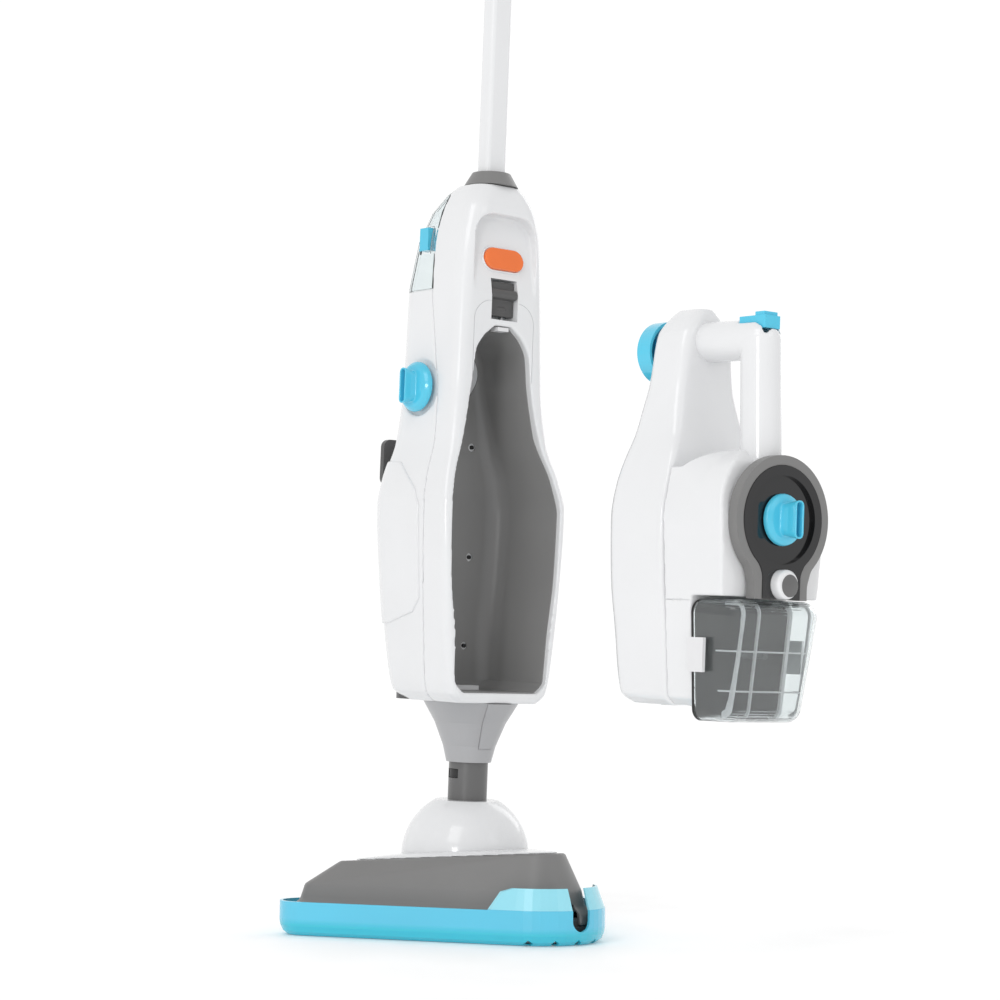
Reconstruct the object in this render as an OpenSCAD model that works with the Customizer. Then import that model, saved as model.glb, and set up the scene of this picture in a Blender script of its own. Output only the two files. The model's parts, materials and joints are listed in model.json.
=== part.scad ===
// Upright steam mop with a lift-out handheld steam unit.
// +Z is up, the nose of the head points to -Y, and the origin is on the floor under the swivel.

/* [Head] */
// Half spacing of the two rear corner centres
head_corner_x = 126; // [120:1:132]
// Radius of the rear corners of the head
head_corner_r = 27; // [22:1:32]
// Forward distance of the nose centre
nose_y = 100; // [92:1:106]
// Radius of the nose
nose_r = 56; // [52:1:60]
// Height of the carpet glider's wall
glider_h = 28; // [24:1:32]

/* [Swivel] */
// Height of the swivel centre above the floor
pivot_z = 65; // [65:1:66]
// Outer radius of the swivel dome
dome_r = 55.4; // [55:0.1:55.6]
// Forward lean of the upright body at rest, degrees
lean_deg = 2.36; // [0:0.1:4]

/* [Upright body] */
// Wall thickness of the main shells
wall = 2.6; // [2:0.1:3]
// Diameter of the neck tube
tube_d = 34; // [32:0.5:36]
// Total height of the mop
total_h = 1180; // [1120:5:1220]
// Width of the flat pole
pole_w = 22; // [20:0.5:24]
// Depth of the flat pole
pole_d = 16; // [14:0.5:18]

/* [Handheld unit] */
// How far the handheld unit stands out of its bay
pull_out = 270; // [240:5:300]
// Radius of the drum that carries the steam dial
drum_r = 56; // [54:0.5:56]
// Height of the drum's axis
drum_z = 353; // [350:1:356]
// Forward position of the drum's face
drum_y = 93; // [90:1:94]
// Width of the water tank
tank_w = 102; // [96:1:104]

/* [Hidden] */
$fn = 48;
loft_fn = 28;
thin = 0.2;
gap = 0.1;
// Detergent dial: sideways reach, rearward place, height and radius
dial_x = -47.2;
dial_y = 26;
dial_z = 470;
dial_r = 22;
// Steam socket and nozzle height
nozzle_z = 488;
// Latch centre height and size
latch_z = 548;
latch_w = 28;
latch_h = 30;
// Height of the lower cord hook's pivot
hook_z = 391;
// Pole and grip heights
collar_z = 646;
pole_base_z = 612;
grip_z = total_h - 140;

// Floor of the hand recess, from its foot to its head
scoop_foot_y = -26.5;
scoop_foot_z = 548;
scoop_head_y = -13;
scoop_head_z = 618;
scoop_tilt = atan((scoop_head_y - scoop_foot_y) / (scoop_head_z - scoop_foot_z));
badge_z = 583;
hose_d = 5;
// Screws that hold the head together, as x and y
head_screw_places = [[-96, 48], [96, 48], [-26, -72], [26, -72]];
// The top of the head rises towards its nose
head_slope = 4.3;

// Each row is height, half width, forward reach, rearward reach and corner radius
body_rows = [
    [198, 44, 40, 42, 18, 8], [206, 53, 41.5, 57, 21, 8], [225, 57, 42, 62, 24, 8], [300, 64.5, 42, 69, 26, 8],
    [368, 68, 41, 72.5, 27, 8], [391, 64, 37, 71, 26, 8], [425, 54, 30, 67, 23, 9], [475, 49, 26.5, 65, 21, 10],
    [560, 47, 26, 65, 21, 14], [600, 44, 27, 57, 20, 16], [625, 39, 26, 45, 19, 17], [641, 32, 22, 32, 18, 17],
    [649, 25, 19, 25, 17, 16]];
bay_rows = [
    [208, 40, 70, 32, 14], [216, 49, 70, 39, 16], [254, 51, 70, 42, 18], [308, 57, 70, 44, 18],
    [366, 58.8, 70, 44, 18], [391, 54, 70, 42, 17], [425, 41.5, 70, 41, 14], [475, 31.5, 70, 44, 9],
    [500, 28.5, 70, 44, 8], [516, 19, 70, 43, 8], [524, 8, 70, 39, 6]];
casing_rows = [
    [209, 37, 28, 24, 12, 3], [216, 45, 28, 33, 14, 3], [262, 49, 28, 38.5, 15, 3], [308, 54.5, 28, 40.5, 16, 3],
    [354, 56.5, 28, 40.5, 16, 3], [381, 52.5, 28, 39, 15, 3], [400, 47.5, 27, 36, 15, 5], [421, 39.5, 22, 32.5, 14, 8],
    [442, 34.5, 18, 29, 12, 9], [460, 31, 16, 26.5, 12, 9], [498, 26, 16, 24, 11, 9], [512, 17, 15, 20, 9],
    [520, 8, 13, 16, 6]];
// The liner's outside reaches past the bay at the floor and the crown
bay_outer_rows = [for (i = [0 : len(bay_rows) - 1]) let (row = bay_rows[i])
    [row[0] + (i == 0 ? -2 : i == len(bay_rows) - 1 ? 2 : 0), row[1], row[2], row[3], row[4]]];
// Detergent cover: bottom and top edges
cover_z0 = 556;
cover_z1 = 644;
// Axis of the cover's hinge behind the body
hinge_y = 67.6;
hinge_z = 557.2;
// Screw bosses in the bay: sideways place, height and depth of the bay's back
bay_screw_places = [[22, 423, 41], [26, 325, 44], [22, 246, 41.4]];
// Line where the front and rear shells meet, as height and forward distance
seam = [[190, 3], [254, 7], [365, 10], [466, -2], [548, -17], [600, -20], [643, -16], [645, -60], [660, -60]];

// Tips the upright body forward about the swivel centre
module lean() {
    translate([0, 0, pivot_z]) rotate([lean_deg, 0, 0]) translate([0, 0, -pivot_z]) children();
}

// Places a handheld piece, drawn where it docks, in its pulled-out position
module pulled() {
    lean() translate([0, -pull_out, 0]) children();
}

// Turns an x-z outline so that it is extruded from forward distance a to forward distance b
module along_y(from_forward, to_forward) {
    translate([0, -from_forward, 0]) rotate([90, 0, 0]) linear_extrude(to_forward - from_forward) children();
}

// Turns a y-z outline so that it is extruded across the body from x0 to x1
module along_x(x0, x1) {
    translate([x0, 0, 0]) rotate([90, 0, 90]) linear_extrude(x1 - x0) children();
}

// One section: the last value of a row, when there is a sixth, is the front corner radius
module corners(row, grow) {
    r = row[4] + grow;
    front_r = (len(row) > 5 ? row[5] : row[4]) + grow;
    for (side = [-1, 1]) {
        translate([side * (row[1] + grow - front_r), -(row[2] + grow - front_r), row[0]])
            cylinder(h = thin, r = front_r, $fn = loft_fn);
        translate([side * (row[1] + grow - r), row[3] + grow - r, row[0]]) cylinder(h = thin, r = r, $fn = loft_fn);
    }
}

// Joins rounded rectangular sections, one hull for each pair of neighbouring rows
module loft(rows, grow = 0) {
    for (i = [0 : len(rows) - 2]) hull() {
        corners(rows[i], grow);
        corners(rows[i + 1], grow);
    }
}

module slab(z0, z1) {
    translate([-250, -500, z0]) cube([500, 1000, z1 - z0]);
}

module front_half(inset = 0) {
    along_x(-120, 120) polygon(concat([for (p = seam) [-p[1] - inset, p[0]]], [[-150, 660], [-150, 190]]));
}

module rear_half(inset = 0) {
    along_x(-120, 120) polygon(concat([for (p = seam) [-p[1] + inset, p[0]]], [[150, 660], [150, 190]]));
}

// ---- Head ----

// Rounded triangle; once the corner radius has shrunk to 8 the corners move inward instead
module head_outline(inset = 0) {
    corner_r = max(8, head_corner_r - inset);
    shift = inset - head_corner_r + corner_r;
    hull() {
        for (side = [-1, 1]) translate([side * (head_corner_x - 1.9 * shift), 50 - shift]) circle(r = corner_r);
        translate([0, -nose_y]) circle(r = nose_r - inset);
    }
}

module head_layer(z, inset) {
    translate([0, 0, z]) linear_extrude(thin) head_outline(inset);
}

module base_plate() {
    color("dimgray") difference() {
        union() {
            translate([0, 0, 7.4]) linear_extrude(7) head_outline(6);
            translate([0, 0, 14]) linear_extrude(7) head_outline(13);
        }
        translate([0, 0, pivot_z]) sphere(r = dome_r + 0.9);
        difference() {
            translate([-68, -200, 0]) cube([136, 106, 30]);
            translate([0, 0, -1]) linear_extrude(40) head_outline(10.4);
        }
        for (x = [-72, -24, 24, 72]) for (y = [20, 40]) translate([x, y, 7]) cylinder(h = 15, d = 4);
        for (x = [-20, 20]) for (y = [-125, -95]) translate([x, y, 7]) cylinder(h = 15, d = 4);
        for (p = head_screw_places) translate([p[0], p[1], 7]) cylinder(h = 15, d = 3.4);
        for (p = head_screw_places) translate([p[0], p[1], 14.4]) cylinder(h = 7, d = 7);
    }
}

module microfibre_pad() {
    color("aliceblue") {
        linear_extrude(1.8) head_outline(16.4);
        translate([0, 0, 1.7]) linear_extrude(5.3) head_outline(10);
    }
}

module glider_shape(inset) {
    hull() {
        head_layer(0, 7 + inset);
        head_layer(3, 3 + inset);
        head_layer(8, 0.6 + inset);
        head_layer(12, inset);
        head_layer(glider_h, inset);
    }
}

module nose_lugs() {
    intersection() {
        hull() {
            head_layer(glider_h - 1, 0);
            head_layer(46, 7);
        }
        along_y(96, 170) polygon([[-64, 20], [-50, 43], [-44, 46], [44, 46], [50, 43], [64, 20]]);
    }
}

module carpet_glider() {
    color("deepskyblue") difference() {
        union() {
            glider_shape(0);
            nose_lugs();
        }
        intersection() {
            union() {
                translate([0, 0, 1.2]) glider_shape(2.4);
                translate([0, 0, -1]) linear_extrude(4) head_outline(16);
            }
            slab(-1, glider_h - 0.9);
        }
        hull() {
            head_layer(glider_h - 1, 2.4);
            head_layer(48, 9.4);
        }
        translate([0, 0, 20]) along_y(130, 170) circle(r = 9);
        along_y(130, 170) translate([-9, 20]) square([18, 40]);
        for (i = [0 : 9]) rotate([0, 0, -40 + i * 8])
            translate([-3.4, -nose_y - 60, 1.2]) rotate([0, 30, 0]) cube([5.6, 26, 4]);
    }
}

// Head outline, tilted with the top of the head
module sloped_layer(z, inset) {
    translate([0, 0, z]) rotate([-head_slope, 0, 0]) linear_extrude(thin) head_outline(inset);
}

module sloped_disc(z, r) {
    translate([0, 0, z]) rotate([-head_slope, 0, 0]) cylinder(h = thin, r = r);
}

module head_top(inset) {
    hull() {
        head_layer(28.7, 17 + inset);
        head_layer(42, 20 + inset);
        sloped_layer(64 - inset, 34 + inset);
        sloped_disc(64 - inset, dome_r + 4 - inset);
    }
}

module head_housing() {
    color("gray") difference() {
        union() {
            hull() {
                head_layer(15, 9.5);
                head_layer(23.5, 10.2);
            }
            hull() {
                head_layer(23.3, 10.2);
                head_layer(29, 16.8);
            }
            head_top(0);
        }
        hull() {
            head_layer(14, 12.4);
            head_layer(23, 12.8);
        }
        hull() {
            head_layer(22.8, 12.9);
            head_layer(28.8, 19.8);
        }
        head_top(2.8);
        translate([0, 0, pivot_z]) sphere(r = dome_r + 1.2);
        along_y(128, 170) translate([-7.5, 10]) square([15, 22]);
    }
}

// White plate that lies on the sloping top of the housing, with a low collar round the dome
module head_cover() {
    color("white") difference() {
        hull() {
            sloped_layer(64, 40);
            sloped_layer(65.4, 40.8);
            sloped_disc(68.4, dome_r + 3);
        }
        head_top(-0.1);
        translate([0, 0, pivot_z]) sphere(r = dome_r + 1.0, $fn = 64);
    }
}

module head_screws() {
    color("silver") for (p = head_screw_places) translate([p[0], p[1], 0]) {
        translate([0, 0, 7.6]) cylinder(h = 30, d = 3);
        translate([0, 0, 14.4 + gap]) cylinder(h = 2.5, d = 6.5);
    }
}

module swivel_pedestal() {
    color("gray") difference() {
        union() {
            intersection() {
                translate([-6.5, -8, 5]) cube([13, 16, pivot_z - 5]);
                translate([0, 0, pivot_z]) sphere(r = dome_r + 0.8);
            }
            translate([0, 8, pivot_z]) rotate([90, 0, 0]) cylinder(h = 16, r = 11);
        }
        translate([0, 30, pivot_z]) rotate([90, 0, 0]) cylinder(h = 60, d = 8.1);
    }
}

// ---- Swivel ----

module swivel_yoke() {
    color("darkgray") difference() {
        union() {
            for (y = [-16, 10]) translate([-20, y, pivot_z - 9]) cube([40, 6, 22]);
            translate([0, 16, pivot_z]) rotate([90, 0, 0]) cylinder(h = 32, d = 8);
            for (side = [-1, 1]) translate([side * 17 - 3, -16, pivot_z - 9]) cube([6, 32, 18]);
        }
        for (side = [-1, 1]) translate([side * 18 - 5, 0, pivot_z]) rotate([0, 90, 0]) cylinder(h = 10, d = 6.1);
    }
}

module pitch_pin() {
    color("silver") lean() for (side = [-1, 1]) translate([side * 24 - 10, 0, pivot_z]) rotate([0, 90, 0])
        cylinder(h = 20, d = 6);
}

module swivel_dome() {
    color("white") lean() difference() {
        union() {
            intersection() {
                difference() {
                    translate([0, 0, pivot_z]) sphere(r = dome_r);
                    translate([0, 0, pivot_z]) sphere(r = dome_r - 2.4);
                }
                translate([0, 0, pivot_z - 5]) cylinder(h = 53, r = 80);
            }
            translate([0, 0, pivot_z + 44]) cylinder(h = 4, r = 32);
            for (side = [-1, 1]) translate([side * 30.5 - 5, -8, pivot_z]) cube([10, 16, 46]);
            for (side = [-1, 1]) translate([side * 30.5 - 5, 0, pivot_z]) rotate([0, 90, 0]) cylinder(h = 10, r = 8);
        }
        translate([0, 0, pivot_z]) difference() {
            cylinder(h = 80, r = 90);
            sphere(r = dome_r);
        }
        translate([0, 0, pivot_z + 40]) cylinder(h = 20, r = 13);
        for (side = [-1, 1]) translate([side * 26.5 - 7.6, 0, pivot_z]) rotate([0, 90, 0]) cylinder(h = 15.2, d = 6);
    }
}

// ---- Neck ----

module neck_tube() {
    color("dimgray") lean() difference() {
        translate([0, 0, 113]) cylinder(h = 60, d = tube_d);
        translate([0, 0, 112]) cylinder(h = 62, d = tube_d - 5);
        translate([-tube_d, -6, 132]) cube([tube_d, 16, 8]);
    }
}

module tube_button() {
    color("black") lean() {
        intersection() {
            translate([-tube_d / 2, -5.6, 132.4]) cube([5, 15.2, 7.2]);
            translate([0, 0, 130]) cylinder(h = 12, d = tube_d - 1.6);
        }
        translate([-tube_d / 2 + 4.6, -6, 128]) cube([2.5, 11, 16]);
    }
}

module neck_cone() {
    color("silver") lean() difference() {
        rotate_extrude() polygon([[tube_d / 2 + gap, 146], [19.5, 146], [23, 160], [31, 180], [41.5, 197.9],
            [38, 197.9], [28, 180], [19, 161], [tube_d / 2 + gap, 155]]);
        neck_panel_cut(0);
    }
}

// Round-ended panel on the front of the neck
module neck_panel_cut(inset) {
    intersection() {
        along_y(12, 60) polygon([[-13 + inset, 200], [-7 + inset, 158 + inset], [7 - inset, 158 + inset],
            [13 - inset, 200]]);
        rotate_extrude() polygon([[18.5 + inset, 146], [22 + inset, 160], [30 + inset, 180],
            [40 + inset, 197.8], [60, 197.8], [60, 146]]);
    }
}

module neck_panel() {
    color("lightgray") lean() intersection() {
        neck_panel_cut(0.3);
        rotate_extrude() polygon([[0, 146], [20.8, 146], [24.4, 160], [32.4, 180], [42.2, 197.6], [0, 197.6]]);
    }
}

// ---- Upright body ----

// Hollow hand recess in the upper front face, deepest under its arched top
module hand_scoop(grow = 0) {
    intersection() {
        along_x(-44, 44) polygon([[-60, 530], [scoop_foot_y - 0.2 + grow, scoop_foot_z],
            [scoop_head_y + grow, scoop_head_z], [scoop_head_y + grow, 640], [-60, 640]]);
        along_y(0, 60) hull() {
            for (side = [-1, 1]) translate([side * 14, 602]) circle(r = 20 + grow);
            translate([-34 - grow, 500]) square([68 + 2 * grow, 90]);
        }
    }
}

module latch_pocket(grow = 0) {
    along_y(10 - grow, 40) translate([0, latch_z]) square([latch_w + 1 + 2 * grow, 36 + 2 * grow], center = true);
}

module front_shell() {
    color("white") lean() difference() {
        intersection() {
            loft(body_rows);
            front_half(0.1);
        }
        difference() {
            intersection() {
                loft(body_rows, -wall);
                slab(198 + wall, 649 - wall);
            }
            hand_scoop(wall);
            latch_pocket(2);
        }
        loft(bay_outer_rows, 2 + gap);
        hand_scoop();
        latch_pocket();
        translate([0, 0, 636]) cylinder(h = 20, r = 15);
        translate([0, 0, 196]) cylinder(h = 6, r = 10);
    }
}

// Two ears and a pin that carry the detergent cover
module cover_ears() {
    for (side = [-1, 1]) along_x(side * 15 - 2.6, side * 15 + 2.6) {
        polygon([[62.6, 547], [62.6, 555.6], [65.5, 555.6], [65.5, hinge_z], [69.8, hinge_z], [69.8, 553], [66, 547]]);
        translate([hinge_y, hinge_z]) circle(r = 2.2);
    }
    along_x(-15, 15) translate([hinge_y, hinge_z]) circle(r = 0.9);
}

module rear_shell() {
    color("white") lean() {
        rear_shell_wall();
        cover_ears();
    }
}

module rear_shell_wall() {
    difference() {
        intersection() {
            loft(body_rows);
            rear_half(0.1);
            slab(190, cover_z0);
        }
        intersection() {
            loft(body_rows, -wall);
            slab(198 + wall, cover_z0 - wall);
        }
        translate([-70, dial_y, dial_z]) rotate([0, 90, 0]) cylinder(h = 60, d = 12.2);
        translate([0, 0, 196]) cylinder(h = 6, r = 10);
    }
}

module cartridge_cover() {
    color("lightcyan") lean() difference() {
        union() {
            intersection() {
                loft(body_rows);
                rear_half(0.4);
                slab(cover_z0 + 0.4, cover_z1 - 0.4);
            }
            along_x(-12, 12) {
                translate([hinge_y, hinge_z]) circle(r = 2.2);
                polygon([[64, hinge_z], [64, hinge_z + 3], [hinge_y, hinge_z + 2.2], [hinge_y, hinge_z]]);
            }
        }
        along_x(-13, 13) translate([hinge_y, hinge_z]) circle(r = 1);
        loft(body_rows, -2);
        translate([-50, 25.5, 588]) cube([16, 15, 24.5]);
        translate([0, 0, 636]) cylinder(h = 20, r = 15);
    }
}

module side_panel(side) {
    intersection() {
        difference() {
            loft(body_rows, 0.9);
            loft(body_rows, gap);
        }
        along_x(side > 0 ? 20 : -80, side > 0 ? 80 : -20)
            polygon([[-4, 286], [-4, 366], [4, 380], [34, 404], [66, 408], [66, 262], [40, 264], [6, 274]]);
    }
}

module left_side_panel() {
    color("whitesmoke") lean() side_panel(-1);
}

module right_side_panel() {
    color("whitesmoke") lean() side_panel(1);
}

module bay_liner() {
    color("gray") lean() difference() {
        union() {
            intersection() {
                loft(bay_outer_rows, 2);
                loft(body_rows, -0.05);
            }
            along_y(-47, -30) translate([0, nozzle_z]) circle(r = 29);
        }
        loft(bay_rows);
        translate([-60, dial_y, dial_z]) rotate([0, 90, 0]) cylinder(h = 30, d = 15.4);
        along_y(-45, 0) translate([0, nozzle_z]) circle(r = 27);
        along_y(-60, -30) translate([0, nozzle_z]) circle(r = 11);
        for (p = bay_screw_places) for (side = [-1, 1])
            along_y(-60, -30) translate([side * p[0], p[1]]) circle(d = 4);
    }
}

module bay_screws() {
    color("dimgray") lean() for (p = bay_screw_places) for (side = [-1, 1])
        along_y(-p[2] - 10, 1.2 - p[2]) translate([side * p[0], p[1]]) circle(d = 3.6);
}

module steam_socket() {
    color("dimgray") lean() difference() {
        union() {
            along_y(-62, -47.1) translate([0, nozzle_z]) circle(r = 14);
            along_y(-62, -45) translate([0, nozzle_z]) circle(r = 10.8);
        }
        along_y(-60.5, -40) translate([0, nozzle_z]) circle(r = 7.6);
        translate([0, 53, nozzle_z - 20]) cylinder(h = 15, d = 3);
    }
}

module steam_hose() {
    color("ivory") lean() {
        translate([0, 53, 222]) cylinder(h = nozzle_z - 222 - 14.2, d = hose_d, $fn = 20);
        hull() {
            translate([0, 53, 222]) sphere(d = hose_d, $fn = 16);
            translate([0, 44, 203.3]) sphere(d = hose_d, $fn = 16);
        }
        hull() {
            translate([0, 44, 203.3]) sphere(d = hose_d, $fn = 16);
            translate([0, 0, 203.3]) sphere(d = hose_d, $fn = 16);
        }
        translate([0, 0, 100]) cylinder(h = 103.3, d = hose_d, $fn = 20);
    }
}

module docking_tab() {
    color("white") lean() translate([-6, -25, 520.6]) cube([12, 10, 3.3]);
}

module docking_peg() {
    color("white") lean() {
        translate([-12, 5, 208.1]) cube([24, 14, 3.9]);
        translate([-9, 19, 208.1]) cube([18, 6, 2.5]);
    }
}

module dock_latch() {
    color("dimgray") lean() difference() {
        union() {
            translate([-latch_w / 2, -20.5, latch_z - 14]) cube([latch_w, 6.5, latch_h]);
            translate([-latch_w / 2, -22.5, latch_z + 5]) rotate([0, 90, 0]) cylinder(h = latch_w, r = 4.5);
            translate([-4, -21.3, latch_z - 9]) cube([8, 2, 2.4]);
        }
        translate([-latch_w / 2 - 1, -13.9, latch_z - 20]) cube([latch_w + 2, 10, 50]);
    }
}

module latch_spring() {
    color("silver") lean() for (side = [-1, 1]) translate([side * 8, -12, latch_z - 16.5])
        difference() {
            cylinder(h = 28, d = 3.2);
            translate([0, 0, -1]) cylinder(h = 30, d = 2);
        }
}

module name_badge() {
    floor_y = scoop_foot_y + (badge_z - scoop_foot_z) * tan(scoop_tilt);
    color("orangered") lean() translate([0, floor_y, badge_z]) rotate([-scoop_tilt, 0, 0])
        along_y(0.2, 4.2) hull() for (side = [-1, 1]) translate([side * 11.5, 0]) circle(r = 10);
}

module detergent_dial() {
    color("deepskyblue") lean() translate([dial_x, dial_y, dial_z]) rotate([0, -90, 0]) difference() {
        union() {
            translate([0, 0, 4.6]) cylinder(h = 3.4, r = dial_r);
            translate([0, 0, 8]) cylinder(h = 4, r1 = dial_r, r2 = 15);
            hull() {
                translate([-14, -7, 8]) cube([28, 14, 1]);
                translate([-16, -4.5, 21]) cube([32, 9, 1]);
            }
        }
        translate([0, 0, -1]) cylinder(h = 9, d = 6);
        translate([-13.5, -2.4, 13]) cube([27, 4.8, 10]);
    }
}

module dial_spindle() {
    color("silver") lean() translate([dial_x, dial_y, dial_z]) rotate([0, -90, 0]) {
        translate([0, 0, -8]) cylinder(h = 15.9, d = 5.9);
        translate([0, 0, -8]) cylinder(h = 3, d = 11.6);
    }
}

module cover_catch() {
    color("deepskyblue") lean() translate([-46.5, 27, 591]) cube([9, 12, 20]);
}

module detergent_bottle() {
    color("azure") lean() {
        translate([0, 30, 573]) difference() {
            cylinder(h = 34, r = 17);
            translate([0, 0, 2]) cylinder(h = 30, r = 15.5);
        }
    }
}

module bottle_cap() {
    color("dimgray") lean() translate([0, 30, cover_z0 + 0.1]) {
        cylinder(h = 16.7, r = 11);
        cylinder(h = 9, r = 14);
    }
}

module lower_cord_hook() {
    color("dimgray") lean() {
        translate([0, 72.8, hook_z]) rotate([-90, 0, 0]) cylinder(h = 11, r = 8);
        along_y(-88, -83) hull() for (side = [-1, 1]) for (z = [2, 29]) translate([side * 37, hook_z + z]) circle(r = 7);
    }
}

module rear_foot() {
    color("dimgray") lean() difference() {
        for (side = [-1, 1]) translate([side * 27, 41, 198.4]) cylinder(h = 12, r = 19);
        loft(body_rows, gap);
        translate([0, 0, 190]) cylinder(h = 12, r = 42);
    }
}

module pole_collar() {
    color("dimgray") lean() difference() {
        translate([0, 0, collar_z + 3.4]) cylinder(h = 12, r1 = 24, r2 = 17);
        pole_bar(0.15);
    }
}

module pole_bar(grow) {
    translate([0, 0, pole_base_z]) linear_extrude(grip_z - pole_base_z + 60) union() {
        square([pole_w + 2 * grow, pole_d - 8 + 2 * grow], center = true);
        square([pole_w - 8 + 2 * grow, pole_d + 2 * grow], center = true);
        for (sx = [-1, 1]) for (sy = [-1, 1])
            translate([sx * (pole_w / 2 - 4), sy * (pole_d / 2 - 4)]) circle(r = 4 + grow);
    }
}

module pole() {
    color("white") lean() difference() {
        pole_bar(0);
        translate([-(pole_w - 3) / 2, -(pole_d - 3) / 2, pole_base_z - 1]) cube([pole_w - 3, pole_d - 3, 900]);
    }
}

module grip_body() {
    difference() {
        hull() {
            translate([0, 0, grip_z]) cylinder(h = 4, r = 16);
            translate([0, 0, grip_z + 30]) cylinder(h = 4, r = 19);
            translate([0, 4, grip_z + 118]) sphere(r = 19, $fn = 32);
        }
        pole_bar(0.15);
    }
}

module left_grip() {
    color("white") lean() intersection() {
        grip_body();
        translate([-50 - 0.05, -60, 0]) cube([50, 120, 1500]);
    }
}

module right_grip() {
    color("white") lean() intersection() {
        grip_body();
        translate([0.05, -60, 0]) cube([50, 120, 1500]);
    }
}

module upper_cord_hook() {
    color("dimgray") lean() difference() {
        union() {
            translate([0, 0, grip_z - 22]) cylinder(h = 16, r = 15);
            translate([-8, 10, grip_z - 20]) cube([16, 26, 10]);
            translate([-9, 32, grip_z - 46]) cube([18, 5, 36]);
        }
        pole_bar(0.15);
    }
}

// ---- Handheld unit, drawn docked ----

// Groove under the casing that slides over the docking peg
module peg_slot(grow) {
    translate([-13 - grow, 4 - grow, 200]) cube([26 + 2 * grow, 40, 13.2 + grow]);
}

module handheld_rear_shell() {
    color("white") pulled() difference() {
        loft(casing_rows);
        difference() {
            intersection() {
                loft(casing_rows, -2.4);
                slab(211.5, 517);
            }
            peg_slot(2);
        }
        peg_slot(0);
        along_y(-60, 10) translate([0, nozzle_z]) circle(r = 12);
        translate([-26, -12, 200]) cylinder(h = 30, r = 7.1);
    }
}

// Side outline of the front casing as y and z
module front_casing_outline(inset) {
    polygon([[-28.1 - inset, 209.5 + inset], [-46, 209.5 + inset], [-50, 207 + inset], [-57.4 + inset, 207 + inset],
        [-57.4 + inset, 293.5 + inset], [-drum_y + 2 + inset, 293.5 + inset], [-drum_y + inset, drum_z],
        [-drum_y + 8 + inset, 396 - inset], [-74, 407 - inset], [-52, 404 - inset], [-40, 392 - inset],
        [-28.1 - inset, 392 - inset]]);
}

// A drum over a tapering body, squared off at the top where it meets the rear casing
module front_casing(inset) {
    intersection() {
        along_x(-60, 60) front_casing_outline(inset);
        union() {
            along_y(20, 120) translate([0, drum_z]) circle(r = drum_r - inset, $fn = 72);
            along_y(20, 120) polygon([[-drum_r + 0.5 + inset, drum_z + 4], [-49 + inset, 262], [-45 + inset, 216],
                [-37 + inset, 209], [-37 + inset, 200], [37 - inset, 200], [37 - inset, 209], [45 - inset, 216],
                [49 - inset, 262], [drum_r - 0.5 - inset, drum_z + 4]]);
            hull() {
                along_y(20, 30) polygon([[-54 + inset, 360], [54 - inset, 360], [48 - inset, 400], [-48 + inset, 400]]);
                along_y(30, 66) translate([0, drum_z]) circle(r = drum_r - 0.2 - inset, $fn = 72);
            }
        }
    }
}

module handheld_front_shell() {
    color("white") pulled() difference() {
        front_casing(0);
        front_casing(2.4);
        along_y(60, 120) translate([0, drum_z]) circle(r = 40);
    }
}

module grip_loop(inset) {
    hull() {
        translate([0, -20, 494]) sphere(r = 15 - inset, $fn = 32);
        translate([0, -72, 492]) sphere(r = 16 - inset, $fn = 32);
    }
    hull() {
        translate([0, -72, 492]) sphere(r = 16 - inset, $fn = 32);
        translate([0, -76, 412]) sphere(r = 16 - inset, $fn = 32);
    }
}

module handheld_grip() {
    color("white") pulled() difference() {
        grip_loop(0);
        difference() {
            grip_loop(2.6);
            trigger_slot(2.4);
        }
        loft(casing_rows, gap);
        along_x(-60, 60) front_casing_outline(-gap);
        trigger_slot(0.4);
    }
}

module trigger_slot(grow) {
    translate([-8 - grow, -84 - grow, 498 - grow]) cube([16 + 2 * grow, 28 + 2 * grow, 30]);
}

module thumb_trigger() {
    color("deepskyblue") pulled() {
        translate([-8, -84, 500]) cube([16, 28, 10]);
        translate([-7, -82, 509]) cube([14, 10, 4]);
    }
}

// Keyhole outline around the dial and the button
module keyhole(r, half_neck, bottom_z) {
    intersection() {
        offset(r = -14) offset(r = 14) {
            translate([0, drum_z]) circle(r = r, $fn = 72);
            polygon([[-r * 0.7, drum_z - r * 0.6], [-half_neck, drum_z - r * 1.0], [-half_neck, bottom_z - 20],
                [half_neck, bottom_z - 20], [half_neck, drum_z - r * 1.0], [r * 0.7, drum_z - r * 0.6]]);
        }
        translate([-80, bottom_z]) square([160, 150]);
    }
}

module panel_surround() {
    color("gray") pulled() difference() {
        along_y(drum_y + gap, drum_y + 9) keyhole(49, 28, 292.5);
        along_y(drum_y + 3, drum_y + 10) keyhole(41.7, 20.2, 290);
        along_y(drum_y - 1, drum_y + 10) translate([0, drum_z]) circle(r = 12);
    }
}

module control_panel() {
    color("black") pulled() difference() {
        along_y(drum_y + 3.1, drum_y + 9.5) keyhole(41.5, 20, 292.8);
        along_y(drum_y + 6.5, drum_y + 12) translate([0, drum_z]) circle(r = 34);
        along_y(drum_y, drum_y + 12) translate([0, drum_z]) circle(d = 8.1);
        along_y(drum_y, drum_y + 12) translate([0, 304]) circle(d = 23.6);
    }
}

module steam_dial() {
    color("deepskyblue") pulled() difference() {
        union() {
            along_y(drum_y - 4, drum_y + 8) translate([0, drum_z]) circle(d = 8);
            along_y(drum_y + 7, drum_y + 13) translate([0, drum_z]) circle(r = 20);
            along_y(drum_y + 12, drum_y + 27) translate([0, drum_z]) square([9, 30], center = true);
        }
        along_y(drum_y + 20, drum_y + 30) translate([0, drum_z]) square([4, 22], center = true);
    }
}

module power_button() {
    color("white") pulled() along_y(drum_y + 6, drum_y + 18) translate([0, 304]) circle(d = 23);
}

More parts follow.
